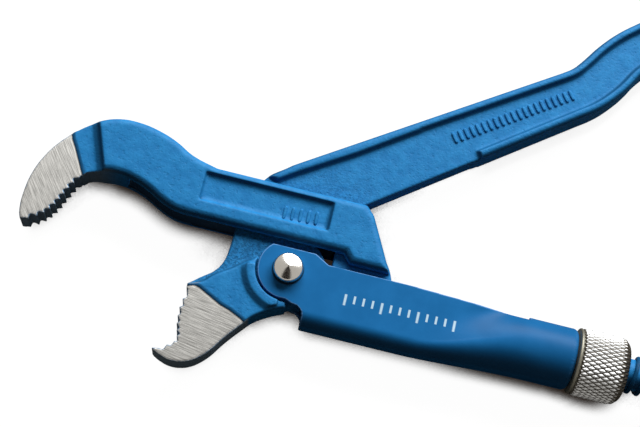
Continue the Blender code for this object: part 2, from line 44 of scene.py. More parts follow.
# Sizes the pieces share with the solids
MIDDLE = 10.5 * MM
AXIS_Y = -4.7 * MM
NECK_HALF = 3.7 * MM
JAW_HALF = 5.0 * MM
ARM_HALF = 7.4 * MM
EAR_OUTER = 5.8 * MM
THREAD_START = 62.0 * MM
THREAD_END = 118.0 * MM
THREAD_R = 5.6 * MM
THREAD_ROOT = 4.65 * MM
THREAD_PITCH = 3.0 * MM
THREAD_CREST = 107.0 * MM
COLLAR_START = 84.0 * MM
COLLAR_END = 87.0 * MM
NUT_START = 88.8 * MM
NUT_END = 104.5 * MM
NUT_R = 10.4 * MM
TUBE_R = 9.3 * MM
SHEET = 1.8 * MM
SLEEVE_END = 88.5 * MM
CHANNEL_FLOOR = 15.4 * MM
CHANNEL_CORNER = 4.4 * MM
EAR_TOP = 6.7 * MM
EAR_R = 9.0 * MM
RIVET_HOLE_R = 3.3 * MM
RIVET_PIN_R = 3.0 * MM
RIVET_HEAD_BASE = 6.1 * MM
GRIP_ANGLE = math.radians(36.0)

# How finely the forgings and the sheet are remeshed, and how often they are smoothed
FORGING_VOXEL = 0.27 * MM
FORGING_PASSES = 18
SHEET_VOXEL = 0.22 * MM
SHEET_PASSES = 5
MOST_TRIANGLES = 190000


# The jaws' corners in plan, and their lengths and heights; the lower jaw hangs down from its corner
UPPER_JAW = (-0.0320, 0.0090, 0.0500, 0.0400)
LOWER_JAW = (0.0, 0.0, 0.0400, -0.0400)


def jaw_plan(jaw, shares):
    """Points in plan from shares of a jaw's length and height."""
    corner_x, corner_y, length, height = jaw
    return [(corner_x - x * length, corner_y + y * height) for x, y in shares]


# The ground faces' outlines, and the lines that the teeth stand on
UPPER_GROUND = jaw_plan(UPPER_JAW, [
    (0.640, 0.020), (0.767, 0.307), (0.800, 0.372), (0.835, 0.500), (1.200, 0.500), (1.200, -0.600),
    (0.640, -0.600)])
LOWER_GROUND = jaw_plan(LOWER_JAW, [
    (1.000, 0.300), (0.700, 0.290), (0.640, 0.268), (0.597, 0.278), (0.510, 0.322), (0.423, 0.366),
    (0.341, 0.392), (0.255, 0.430), (0.150, 0.490), (0.150, 1.000), (1.000, 1.000)])
UPPER_SAW = jaw_plan(UPPER_JAW, [(0.690, 0.100), (0.760, -0.052), (0.800, -0.200), (0.965, -0.330)])
LOWER_SAW = jaw_plan(LOWER_JAW, [
    (0.672, 0.308), (0.715, 0.480), (0.680, 0.640), (0.660, 0.700), (0.798, 0.820)])


# Meshes
def new_object(name, data):
    made = bpy.data.objects.new(name, data)
    bpy.context.scene.collection.objects.link(made)
    return made


def object_from(name, work):
    """An object from a working mesh, which goes."""
    mesh = bpy.data.meshes.new(name)
    work.to_mesh(mesh)
    work.free()
    return new_object(name, mesh)


def node_copy(node, name):
    """A welded copy of a CAD node's mesh, in the same place."""
    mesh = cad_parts[node].data.copy()
    work = bmesh.new()
    work.from_mesh(mesh)
    bmesh.ops.remove_doubles(work, verts=work.verts, dist=0.001 * MM)
    work.to_mesh(mesh)
    work.free()
    mesh.materials.clear()
    return new_object(name, mesh)


def baked(piece):
    """The piece with its modifiers made real."""
    graph = bpy.context.evaluated_depsgraph_get()
    mesh = bpy.data.meshes.new_from_object(piece.evaluated_get(graph))
    old = piece.data
    piece.modifiers.clear()
    piece.data = mesh
    bpy.data.meshes.remove(old)
    return piece


def vectors_of(mesh, label):
    flat = np.zeros(len(mesh.vertices) * 3, np.float32)
    mesh.vertices.foreach_get(label, flat)
    return flat.reshape(-1, 3).astype(float)


def points_of(mesh):
    return vectors_of(mesh, "co")


def normals_of(mesh):
    return vectors_of(mesh, "normal")


def axis_radius(points):
    return np.hypot(points[:, 1] - AXIS_Y, points[:, 2] - MIDDLE)


def draw_in(mesh, points, share):
    """Moves the points towards the spindle's axis, to a share of their distance from it."""
    points[:, 1] = AXIS_Y + (points[:, 1] - AXIS_Y) * share
    points[:, 2] = MIDDLE + (points[:, 2] - MIDDLE) * share
    mesh.vertices.foreach_set("co", points.astype(np.float32).ravel())
    mesh.update()


def shade_smooth(mesh):
    mesh.polygons.foreach_set("use_smooth", np.ones(len(mesh.polygons), bool))


def line_distance(points, line):
    """Distance in plan to the nearest stretch of an open line."""
    x, y = points[:, 0], points[:, 1]
    nearest = np.full(len(points), 1e9)
    for (ax, ay), (bx, by) in zip(line, line[1:]):
        length = (bx - ax) ** 2 + (by - ay) ** 2
        share = np.clip(((x - ax) * (bx - ax) + (y - ay) * (by - ay)) / length, 0.0, 1.0)
        nearest = np.minimum(nearest, np.hypot(x - ax - share * (bx - ax), y - ay - share * (by - ay)))
    return nearest


def outline_distance(points, outline):
    """Distance in plan to a closed outline, negative inside it."""
    x, y = points[:, 0], points[:, 1]
    nearest = line_distance(points, outline + outline[:1])
    inside = np.zeros(len(points), bool)
    for (ax, ay), (bx, by) in zip(outline, outline[1:] + outline[:1]):
        crosses = (ay > y) != (by > y)
        with np.errstate(divide="ignore", invalid="ignore"):
            inside ^= crosses & (x < (bx - ax) * (y - ay) / (by - ay) + ax)
    return np.where(inside, -nearest, nearest)


def ramp(values, low, high):
    """0 below low, 1 above high, and a soft rise between them."""
    share = np.clip((values - low) / (high - low), 0.0, 1.0)
    return share * share * (3 - 2 * share)


def add_mask(mesh, name, values):
    layer = mesh.attributes.new(name, "FLOAT", "POINT")
    layer.data.foreach_set("value", values.astype(np.float32))


def add_plain_masks(mesh, **values):
    """Every mask that the forging's paint reads, each at one value all over: 0 unless given."""
    for name in ("ground", "step", "painted_glint", "slate", "inner", "lee", "streak", "edge", "sand"):
        add_mask(mesh, name, np.full(len(mesh.vertices), values.get(name, 0.0)))


def read_mask(mesh, name):
    values = np.empty(len(mesh.vertices), np.float32)
    mesh.attributes[name].data.foreach_get("value", values)
    return values


def lee_mask(normals):
    """Slopes turned towards the tool's lower side or its jaw end, where shade is painted into the colour."""
    x, y, z = normals.T
    turned = 0.9 * np.maximum(-y, 0) + 0.8 * np.maximum(-x, 0) + 0.35 * np.maximum(x, 0)
    return ramp(turned, 0.08, 0.55) * ramp(np.abs(z), 0.15, 0.40)


def edge_mask(mesh):
    """How sharply each point stands out: 1 on a sharp edge, 0 on a flat."""
    points = points_of(mesh)
    normals = normals_of(mesh)
    ends = np.zeros(len(mesh.edges) * 2, np.int32)
    mesh.edges.foreach_get("vertices", ends)
    a, b = ends.reshape(-1, 2).T
    count = np.bincount(np.concatenate((a, b)), minlength=len(points)).astype(float)
    count[count == 0] = 1
    step = points[b] - points[a]
    far = np.einsum("ij,ij->i", step, step) + 1e-14
    lean_a = -np.einsum("ij,ij->i", step, normals[a]) / far
    lean_b = np.einsum("ij,ij->i", step, normals[b]) / far
    bend = (np.bincount(a, lean_a, len(points)) + np.bincount(b, lean_b, len(points))) / count
    for _ in range(2):
        near = (np.bincount(a, bend[b], len(points)) + np.bincount(b, bend[a], len(points))) / count
        bend = (bend + near) / 2
    return bend * MM


def forged(piece, voxel, passes, weigh):
    """The solid with soft edges: remeshed finely, smoothed by weights, and thinned where it is flat."""
    remesh = piece.modifiers.new("remesh", "REMESH")
    remesh.mode = "VOXEL"
    remesh.voxel_size = voxel
    baked(piece)
    soft = piece.vertex_groups.new(name="soft")
    weights = weigh(points_of(piece.data))
    for level in np.unique(np.round(weights, 1)):
        chosen = np.nonzero(np.round(weights, 1) == level)[0].tolist()
        soft.add(chosen, float(level), "REPLACE")
    smooth = piece.modifiers.new("smooth", "SMOOTH")
    smooth.factor = 0.5
    smooth.iterations = passes
    smooth.vertex_group = "soft"
    triangles = 2 * len(piece.data.polygons)
    if triangles > MOST_TRIANGLES:
        thin = piece.modifiers.new("thin", "DECIMATE")
        thin.ratio = MOST_TRIANGLES / triangles
    baked(piece)
    piece.vertex_groups.clear()
    shade_smooth(piece.data)
    return piece


# Node helpers
def group_tree(name, inputs, outputs, kind="ShaderNodeTree"):
    tree = bpy.data.node_groups.new(name, kind)
    for label, socket, value in inputs:
        made = tree.interface.new_socket(label, in_out="INPUT", socket_type=socket)
        if value is not None:
            made.default_value = value
    for label, socket in outputs:
        tree.interface.new_socket(label, in_out="OUTPUT", socket_type=socket)
    return tree, tree.nodes.new("NodeGroupInput"), tree.nodes.new("NodeGroupOutput")


def put(tree, socket, value):
    """Links another node's socket to this one, or sets a constant on it."""
    if isinstance(value, bpy.types.NodeSocket):
        tree.links.new(value, socket)
    else:
        socket.default_value = value


def node(tree, kind, values=(), **settings):
    """A node with its settings made and its inputs set or linked."""
    made = tree.nodes.new(kind)
    for key, value in settings.items():
        setattr(made, key, value)
    for label, value in dict(values).items():
        put(tree, made.inputs[label], value)
    return made


def maths(tree, operation, first, second=0.5, third=0.5):
    made = tree.nodes.new("ShaderNodeMath")
    made.operation = operation
    put(tree, made.inputs[0], first)
    put(tree, made.inputs[1], second)
    put(tree, made.inputs[2], third)
    return made.outputs[0]


def times(tree, first, second):
    return maths(tree, "MULTIPLY", first, second)


def plus(tree, first, second):
    return maths(tree, "ADD", first, second)


def minus(tree, first, second):
    return maths(tree, "SUBTRACT", first, second)


def noise(tree, where, scale, detail, roughness):
    return node(tree, "ShaderNodeTexNoise", {
        "Vector": where, "Scale": scale, "Detail": detail, "Roughness": roughness}).outputs[0]


def stretch(tree, value, low, high, to_low=0.0, to_high=1.0):
    """A soft change from to_low, where value is low, to to_high, where it is high."""
    made = tree.nodes.new("ShaderNodeMapRange")
    made.interpolation_type = "SMOOTHSTEP"
    for slot, given in zip(range(5), (value, low, high, to_low, to_high)):
        put(tree, made.inputs[slot], given)
    return made.outputs[0]


def blend_value(tree, share, first, second):
    made = tree.nodes.new("ShaderNodeMix")
    made.data_type = "FLOAT"
    put(tree, made.inputs[0], share)
    put(tree, made.inputs[2], first)
    put(tree, made.inputs[3], second)
    return made.outputs[0]


def blend_colour(tree, share, first, second):
    made = tree.nodes.new("ShaderNodeMix")
    made.data_type = "RGBA"
    put(tree, made.inputs["Factor"], share)
    put(tree, made.inputs[6], first)
    put(tree, made.inputs[7], second)
    return made.outputs[2]


def cover(tree, below, share, most, above):
    """A colour laid over the one below where share says, and at most this thickly."""
    return blend_colour(tree, times(tree, share, most), below, above)


def tinted(tree, tone, tint):
    """A colour from one tone, its red, green and blue scaled by the tint."""
    parts = [times(tree, tone, share) for share in tint]
    return node(tree, "ShaderNodeCombineColor", dict(zip(("Red", "Green", "Blue"), parts))).outputs[0]


def axis_distance(tree, where, point, across):
    """Distance from an axis through a point; across is 1 for the two directions that count."""
    away = node(tree, "ShaderNodeVectorMath", {0: where, 1: point}, operation="SUBTRACT")
    flat = node(tree, "ShaderNodeVectorMath", {0: away.outputs[0], 1: across}, operation="MULTIPLY")
    return node(tree, "ShaderNodeVectorMath", {0: flat.outputs[0]}, operation="LENGTH").outputs["Value"]


# Shared effects
def cast_skin_group():
    """Lumps of the die, orange peel, small dents and sand grain: one height in millimetres, and masks."""
    tree, given, out = group_tree(
        "cast_skin",
        [("Vector", "NodeSocketVector", None), ("Lump Size", "NodeSocketFloat", 4.0),
         ("Peel Size", "NodeSocketFloat", 0.9), ("Dent Depth", "NodeSocketFloat", 0.06),
         ("Sand", "NodeSocketFloat", 0.0)],
        [("Height", "NodeSocketFloat"), ("Cloud", "NodeSocketFloat"), ("Dents", "NodeSocketFloat"),
         ("Specks", "NodeSocketFloat")])
    millimetres = node(tree, "ShaderNodeVectorMath", {
        0: given.outputs["Vector"], "Scale": PER_METRE}, operation="SCALE")
    where = millimetres.outputs[0]
    lumps = noise(tree, where, maths(tree, "DIVIDE", 1.0, given.outputs["Lump Size"]), 3.0, 0.55)
    peel = noise(tree, where, maths(tree, "DIVIDE", 1.0, given.outputs["Peel Size"]), 1.0, 0.5)
    dents = stretch(tree, noise(tree, where, 0.85, 2.0, 0.6), 0.56, 0.72)
    specks = stretch(tree, noise(tree, where, 1.15, 3.0, 0.7), 0.36, 0.62)
    peel_height = maths(tree, "MULTIPLY_ADD", peel, 0.03, times(tree, lumps, 0.18))
    sunk = times(tree, dents, given.outputs["Dent Depth"])
    skin_height = minus(tree, peel_height, sunk)
    sand_height = times(tree, specks, 0.13)
    height = maths(tree, "MULTIPLY_ADD", sand_height, given.outputs["Sand"], skin_height)
    put(tree, out.inputs["Height"], height)
    put(tree, out.inputs["Cloud"], lumps)
    put(tree, out.inputs["Dents"], dents)
    put(tree, out.inputs["Specks"], specks)
    return tree


def metal_grain_group():
    """Fine streaks that run one way, and soft blotches; their sizes are in millimetres."""
    tree, given, out = group_tree(
        "metal_grain",
        [("Vector", "NodeSocketVector", None), ("Angle", "NodeSocketFloat", 0.0),
         ("Streak Length", "NodeSocketFloat", 12.0), ("Streak Width", "NodeSocketFloat", 0.2)],
        [("Streaks", "NodeSocketFloat"), ("Blotches", "NodeSocketFloat")])
    turned = node(tree, "ShaderNodeVectorRotate", {
        "Vector": given.outputs["Vector"], "Angle": given.outputs["Angle"]}, rotation_type="Z_AXIS")
    shares = node(tree, "ShaderNodeCombineXYZ", {
        "X": maths(tree, "DIVIDE", PER_METRE, given.outputs["Streak Length"]),
        "Y": maths(tree, "DIVIDE", PER_METRE, given.outputs["Streak Width"]),
        "Z": maths(tree, "DIVIDE", PER_METRE, given.outputs["Streak Width"])})
    drawn = node(tree, "ShaderNodeVectorMath", {
        0: turned.outputs[0], 1: shares.outputs[0]}, operation="MULTIPLY")
    put(tree, out.inputs["Streaks"], noise(tree, drawn.outputs[0], 1.0, 4.0, 0.6))
    put(tree, out.inputs["Blotches"], noise(tree, given.outputs["Vector"], 260.0, 4.0, 0.6))
    return tree


CAST_SKIN = cast_skin_group()
METAL_GRAIN = metal_grain_group()


def use_group(tree, group, values):
    made = tree.nodes.new("ShaderNodeGroup")
    made.node_tree = group
    for label, value in values.items():
        put(tree, made.inputs[label], value)
    return made


def new_material(name, roughness, metallic=0.0, shine=0.5):
    made = bpy.data.materials.new(name)
    made.use_nodes = True
    tree = made.node_tree
    shader = tree.nodes["Principled BSDF"]
    shader.inputs["Roughness"].default_value = roughness
    shader.inputs["Metallic"].default_value = metallic
    shader.inputs["Specular IOR Level"].default_value = shine
    return made, tree, shader


def object_place(tree):
    return tree.nodes.new("ShaderNodeTexCoord").outputs["Object"]


def mask(tree, name):
    made = tree.nodes.new("ShaderNodeAttribute")
    made.attribute_name = name
    return made.outputs["Fac"]


def bump(tree, height, strength=1.0):
    return node(tree, "ShaderNodeBump", {"Height": height, "Distance": MM, "Strength": strength}).outputs[0]


# Finishes and their colours
BLUE = (0.020, 0.222, 0.520)
BLUE_DEEP = (0.013, 0.178, 0.445)
SLEEVE_BLUE = (0.011, 0.152, 0.400)
SLEEVE_DEEP = (0.008, 0.132, 0.355)
# the painted shade inside the slot
INNER_PAINTED_SHADE = (0.0006, 0.002, 0.004, 1.0)
HEAD_RING_DARK = (0.004, 0.016, 0.030, 1.0)
# the painted shade in the knurl's grooves
GROOVE_PAINTED_SHADE = (0.085, 0.076, 0.062, 1.0)
SLATE = (0.19, 0.26, 0.315, 1.0)
PRINT_PALE = (0.50, 0.68, 0.80, 1.0)
STEEL_TONE = 0.382

# Which way each jaw's face was ground
UPPER_STREAK = math.radians(53.0)
LOWER_STREAK = math.radians(9.0)


def shade_of(colour, share, lift=0.0):
    """An opaque colour from a share of another, lifted towards white."""
    return (*(min(1.0, lift + share * part) for part in colour), 1.0)


def paint_on_forging(name, colour, deep):
    """Blue paint over a die forging, with the jaw's ground steel showing where the mask says."""
    made, tree, shader = new_material(name, 0.42, shine=0.11)
    where = object_place(tree)
    ground = mask(tree, "ground")
    sand = mask(tree, "sand")
    skin = use_group(tree, CAST_SKIN, {
        "Vector": where, "Lump Size": 3.4, "Peel Size": 0.8, "Dent Depth": 0.05, "Sand": sand})
    grain = use_group(tree, METAL_GRAIN, {
        "Vector": where, "Angle": mask(tree, "streak"), "Streak Length": 7.0, "Streak Width": 0.24})
    # a shaded copy of the deep blue, for painted shade
    shaded = shade_of(deep, 0.33)
    cloud = stretch(tree, skin.outputs["Cloud"], 0.3, 0.72)
    body = blend_colour(tree, cloud, shade_of(deep, 1.0), shade_of(colour, 1.0))
    # painted shade in the skin's dents and in the sand's hollows
    body = cover(tree, body, skin.outputs["Dents"], 0.16, shaded)
    hollow = minus(tree, 1.0, skin.outputs["Specks"])
    body = cover(tree, body, times(tree, hollow, sand), 0.7, shaded)
    # painted shade in creases, where the edge mask falls below 0
    body = blend_colour(tree, stretch(tree, mask(tree, "edge"), -0.12, -0.45, 0.0, 0.55), body, shaded)
    # painted shade on the step round the ground face, on slopes and, near black, inside the slot; then the
    # bare walls' slate grey
    for label, most, above in (("step", 0.85, shaded), ("lee", 0.85, shaded), ("inner", 0.95, INNER_PAINTED_SHADE),
                               ("slate", 0.9, SLATE)):
        body = cover(tree, body, mask(tree, label), most, above)
    # painted highlight along convex edges
    painted_edge_highlight = stretch(tree, mask(tree, "edge"), 0.20, 0.70, 0.0, 0.35)
    body = blend_colour(tree, painted_edge_highlight, body, shade_of(colour, 1.3, 0.05))
    streaks = stretch(tree, grain.outputs["Streaks"], 0.28, 0.72)
    steel_tone = maths(tree, "MULTIPLY_ADD", streaks, STEEL_TONE * 0.80, STEEL_TONE * 0.50)
    # painted highlight: the steel lighter just inside its border
    steel_tone = maths(tree, "MULTIPLY_ADD", mask(tree, "painted_glint"), STEEL_TONE * 0.9, steel_tone)
    steel_tone = maths(tree, "MULTIPLY_ADD", grain.outputs["Blotches"], STEEL_TONE * 0.25, steel_tone)
    # the lower jaw's steel is a little darker than the upper's
    jaw_share = stretch(tree, mask(tree, "streak"), LOWER_STREAK, UPPER_STREAK, 0.92, 1.0)
    steel = tinted(tree, times(tree, steel_tone, jaw_share), (1.0, 1.0, 0.97))
    put(tree, shader.inputs["Base Color"], blend_colour(tree, ground, body, steel))
    put(tree, shader.inputs["Metallic"], ground)
    paint_rough = maths(tree, "MULTIPLY_ADD", sand, 0.2, 0.46)
    steel_rough = maths(tree, "MULTIPLY_ADD", grain.outputs["Streaks"], 0.2, 0.42)
    put(tree, shader.inputs["Roughness"], blend_value(tree, ground, paint_rough, steel_rough))
    steel_height = times(tree, grain.outputs["Streaks"], 0.04)
    height = blend_value(tree, ground, skin.outputs["Height"], steel_height)
    put(tree, shader.inputs["Normal"], bump(tree, height, 0.9))
    return made


# A dark ring on the sheet round the rivet's head
HEAD_RING_OUTER = 5.00 * MM
HEAD_RING_INNER = 4.60 * MM

# The printed gauge; a short tick is twice GAUGE_HALF tall, and GAUGE_THICK is half its width in ticks
GAUGE_START = 18.5 * MM
GAUGE_END = 51.5 * MM
GAUGE_Y = -4.4 * MM
GAUGE_HALF = 1.2 * MM
GAUGE_LONGER = 0.5 * MM
GAUGE_TICK = 2.75 * MM
GAUGE_THICK = 0.12


def paint_on_sheet(name, colour, deep):
    """Smooth blue paint on the pressed sleeve, with painted shade and edge highlights, a printed gauge and a
    dark ring round the rivet.
    """
    made, tree, shader = new_material(name, 0.40, shine=0.09)
    where = object_place(tree)
    skin = use_group(tree, CAST_SKIN, {
        "Vector": where, "Lump Size": 9.0, "Peel Size": 0.6, "Dent Depth": 0.01, "Sand": 0.0})
    cloud = stretch(tree, skin.outputs["Cloud"], 0.3, 0.72)
    body = blend_colour(tree, cloud, shade_of(deep, 1.0), shade_of(colour, 1.0))
    # painted shade where the sheet's mask says
    body = cover(tree, body, mask(tree, "lee"), 0.55, shade_of(deep, 0.3))
    # painted highlight along the sheet's convex edges
    painted_edge_highlight = stretch(tree, mask(tree, "edge"), 0.15, 0.55, 0.0, 0.75)
    body = blend_colour(tree, painted_edge_highlight, body, shade_of(colour, 1.3, 0.12))
    body = blend_colour(tree, printed_gauge(tree, where), body, PRINT_PALE)
    reach = axis_distance(tree, where, (0.0, 0.0, 0.0), (1.0, 1.0, 0.0))
    head_ring = stretch(tree, reach, HEAD_RING_OUTER, HEAD_RING_INNER, 0.0, 0.85)
    body = blend_colour(tree, head_ring, body, HEAD_RING_DARK)
    put(tree, shader.inputs["Base Color"], body)
    fine = times(tree, skin.outputs["Height"], 0.35)
    put(tree, shader.inputs["Normal"], bump(tree, fine, 0.8))
    return made


def band(tree, value, centre, half, soft=0.06 * MM):
    """1 where value is within half of centre."""
    off = maths(tree, "ABSOLUTE", minus(tree, value, centre))
    return stretch(tree, off, half + soft, half - soft)


def printed_gauge(tree, where):
    """A row of upright ticks, every fourth one longer, on the sleeve's front side only."""
    parts = node(tree, "ShaderNodeSeparateXYZ", {"Vector": where})
    x, y, z = parts.outputs
    place = maths(tree, "DIVIDE", minus(tree, x, GAUGE_START), GAUGE_TICK)
    rows = []
    for step, longer in ((1, 0.0), (4, GAUGE_LONGER)):
        turn = maths(tree, "FRACT", maths(tree, "MULTIPLY_ADD", place, 1 / step, 0.5))
        off = maths(tree, "ABSOLUTE", minus(tree, turn, 0.5))
        tick = stretch(tree, off, GAUGE_THICK / step + 0.02, GAUGE_THICK / step - 0.02)
        tall = band(tree, y, GAUGE_Y - longer, GAUGE_HALF + longer)
        rows.append(times(tree, tick, tall))
    along = band(tree, x, (GAUGE_START + GAUGE_END) / 2, (GAUGE_END - GAUGE_START) / 2 + GAUGE_TICK / 4)
    front = stretch(tree, z, MIDDLE, MIDDLE + 2 * MM)
    marks = maths(tree, "MAXIMUM", rows[0], rows[1])
    return times(tree, times(tree, marks, along), front)


def plain_steel(name, tone, roughness, streak_length, streak_width, tint, grooves=None):
    """Bare steel with fine streaks; grooves gives the radii from the spindle where the painted shade in the
    knurl's grooves turns to bright steel.
    """
    made, tree, shader = new_material(name, roughness, metallic=1.0)
    where = object_place(tree)
    grain = use_group(tree, METAL_GRAIN, {
        "Vector": where, "Angle": 0.0, "Streak Length": streak_length, "Streak Width": streak_width})
    shade = maths(tree, "MULTIPLY_ADD", grain.outputs["Blotches"], 0.18, tone - 0.09)
    colour = tinted(tree, shade, tint)
    if grooves:
        reach = axis_distance(tree, where, (0.0, AXIS_Y, MIDDLE), (0.0, 1.0, 1.0))
        colour = blend_colour(tree, stretch(tree, reach, *grooves), GROOVE_PAINTED_SHADE, colour)
    put(tree, shader.inputs["Base Color"], colour)
    rough = maths(tree, "MULTIPLY_ADD", grain.outputs["Streaks"], 0.12, roughness - 0.06)
    put(tree, shader.inputs["Roughness"], rough)
    put(tree, shader.inputs["Normal"], bump(tree, times(tree, grain.outputs["Streaks"], 0.012)))
    return made


FORGED_PAINT = paint_on_forging("forged_paint", BLUE, BLUE_DEEP)
SHEET_PAINT = paint_on_sheet("sheet_paint", SLEEVE_BLUE, SLEEVE_DEEP)
RIVET_STEEL = plain_steel("rivet_steel", 0.76, 0.19, 4.0, 0.5, (1.0, 0.985, 0.95))
BAND_STEEL = plain_steel("band_steel", 0.26, 0.55, 2.0, 0.3, (1.0, 0.97, 0.80))
KNURL_STEEL = plain_steel("knurl_steel", 0.73, 0.50, 2.0, 0.3, (0.96, 0.985, 1.0),
                          (NUT_R - 0.54 * MM, NUT_R - 0.36 * MM))


# Geometry node trees
def run_tree(name, tree, finish, values):
    """Runs a geometry tree on an empty mesh and keeps what it makes as a plain mesh."""
    values = {**values, "Finish": finish}
    piece = new_object(name, bpy.data.meshes.new(name))
    step = piece.modifiers.new("make", "NODES")
    step.node_group = tree
    for item in tree.interface.items_tree:
        if item.item_type == "SOCKET" and item.in_out == "INPUT" and item.name in values:
            step[item.identifier] = values[item.name]
    baked(piece)
    piece.data.materials.clear()
    piece.data.materials.append(finish)
    shade_smooth(piece.data)
    return piece


def shape_tree(name, sizes, others=()):
    """A geometry tree that takes these sizes and a finish, and gives one geometry."""
    inputs = list(others) + [(label, "NodeSocketFloat", value) for label, value in sizes]
    inputs.append(("Finish", "NodeSocketMaterial", None))
    return group_tree(name, inputs, [("Geometry", "NodeSocketGeometry")], "GeometryNodeTree")


def own_place(tree):
    """Each point's own place, in parts."""
    place = tree.nodes.new("GeometryNodeInputPosition")
    return node(tree, "ShaderNodeSeparateXYZ", {"Vector": place.outputs[0]})


def moved(tree, shape, place):
    """The shape with its points moved to new places."""
    return node(tree, "GeometryNodeSetPosition", {"Geometry": shape.outputs[0], "Position": place.outputs[0]})


def finish_tree(tree, out, geometry):
    real = node(tree, "GeometryNodeRealizeInstances", {"Geometry": geometry})
    painted = node(tree, "GeometryNodeSetMaterial", {"Geometry": real.outputs[0]})
    put(tree, painted.inputs["Material"], tree.nodes["Group Input"].outputs["Finish"])
    put(tree, out.inputs["Geometry"], painted.outputs[0])


def thread_tree():
    """A ridge wound along the spindle."""
    tree, given, out = shape_tree("spindle_thread", [
        ("Radius", 0.005), ("Pitch", 0.003), ("Turns", 18.0), ("Ridge Height", 0.001), ("Crest", 0.0008),
        ("Foot", 0.002), ("Start", 0.06), ("Axis Y", 0.0), ("Axis Z", 0.0)])
    size = given.outputs
    length = times(tree, size["Pitch"], size["Turns"])
    middle = minus(tree, size["Radius"], maths(tree, "DIVIDE", size["Ridge Height"], 2.0))
    spiral = node(tree, "GeometryNodeCurveSpiral", {
        "Resolution": 56, "Rotations": size["Turns"], "Start Radius": middle, "End Radius": middle,
        "Height": length})
    upright = node(tree, "GeometryNodeSetCurveNormal", {"Curve": spiral.outputs[0]}, mode="Z_UP")
    ridge = node(tree, "GeometryNodeCurvePrimitiveQuadrilateral", {
        "Height": size["Ridge Height"], "Bottom Width": size["Foot"], "Top Width": size["Crest"],
        "Offset": 0.0}, mode="TRAPEZOID")
    rounded = node(tree, "GeometryNodeFilletCurve", {
        "Curve": ridge.outputs[0], "Count": 2, "Radius": times(tree, size["Crest"], 0.3)}, mode="POLY")
    swept = node(tree, "GeometryNodeCurveToMesh", {
        "Curve": upright.outputs[0], "Profile Curve": rounded.outputs[0], "Fill Caps": True})
    place = node(tree, "ShaderNodeCombineXYZ", {"X": size["Start"], "Y": size["Axis Y"], "Z": size["Axis Z"]})
    laid = node(tree, "GeometryNodeTransform", {
        "Geometry": swept.outputs[0], "Translation": place.outputs[0], "Rotation": (0.0, math.pi / 2, 0.0)})
    finish_tree(tree, out, laid.outputs[0])
    return tree


def knurl_tree():
    """A ring of long diamond points whose far end is rounded over."""
    tree, given, out = shape_tree("nut_knurl", [
        ("Radius", 0.0104), ("Length", 0.014), ("Depth", 0.0006), ("End Round", 0.003), ("Start", 0.09),
        ("Axis Y", 0.0), ("Axis Z", 0.0), ("Round", 38.0), ("Along", 4.4), ("Steps Round", 380.0),
        ("Steps Along", 84.0)])
    size = given.outputs
    sheet = node(tree, "GeometryNodeMeshGrid", {
        "Size X": 1.0, "Size Y": 1.0, "Vertices X": plus(tree, size["Steps Round"], 1.0),
        "Vertices Y": size["Steps Along"]})
    spot = own_place(tree)
    # shares of the way round and along, and how many diamonds have passed on each
    u = plus(tree, spot.outputs["X"], 0.5)
    v = plus(tree, spot.outputs["Y"], 0.5)
    u_count = times(tree, u, size["Round"])
    v_count = times(tree, v, size["Along"])
    # two crossed sets of ridges, cut flat and soft at the top
    heights = []
    for operation in ("ADD", "SUBTRACT"):
        lines = maths(tree, operation, u_count, v_count)
        off = minus(tree, maths(tree, "FRACT", plus(tree, lines, 20.0)), 0.5)
        heights.append(maths(tree, "MULTIPLY_ADD", maths(tree, "ABSOLUTE", off), -2.0, 1.0))
    lowest = maths(tree, "SMOOTH_MIN", heights[0], heights[1], 0.12)
    top = maths(tree, "SMOOTH_MIN", lowest, 0.80, 0.2)
    # the far end falls away in a quarter round, and the near end rises from the band
    x_place = times(tree, v, size["Length"])
    left = minus(tree, size["Length"], x_place)
    short = maths(tree, "MAXIMUM", minus(tree, size["End Round"], left), 0.0)
    inner = minus(tree, times(tree, size["End Round"], size["End Round"]),
                  times(tree, short, short))
    fall = minus(tree, size["End Round"], maths(tree, "SQRT", maths(tree, "MAXIMUM", inner, 0.0)))
    near_band = maths(tree, "MAXIMUM", minus(tree, size["Depth"], x_place), 0.0)
    base = minus(tree, size["Radius"], size["Depth"])
    rise = maths(tree, "MULTIPLY_ADD", top, size["Depth"], base)
    radius = minus(tree, minus(tree, rise, fall), near_band)
    angle = times(tree, u, math.tau)
    y = maths(tree, "MULTIPLY_ADD", maths(tree, "COSINE", angle), radius, size["Axis Y"])
    z = maths(tree, "MULTIPLY_ADD", maths(tree, "SINE", angle), radius, size["Axis Z"])
    x = plus(tree, x_place, size["Start"])
    placed = node(tree, "ShaderNodeCombineXYZ", {"X": x, "Y": y, "Z": z})
    bent = moved(tree, sheet, placed)
    closed = node(tree, "GeometryNodeMergeByDistance", {"Geometry": bent.outputs[0], "Distance": 0.005 * MM})
    finish_tree(tree, out, closed.outputs[0])
    return tree


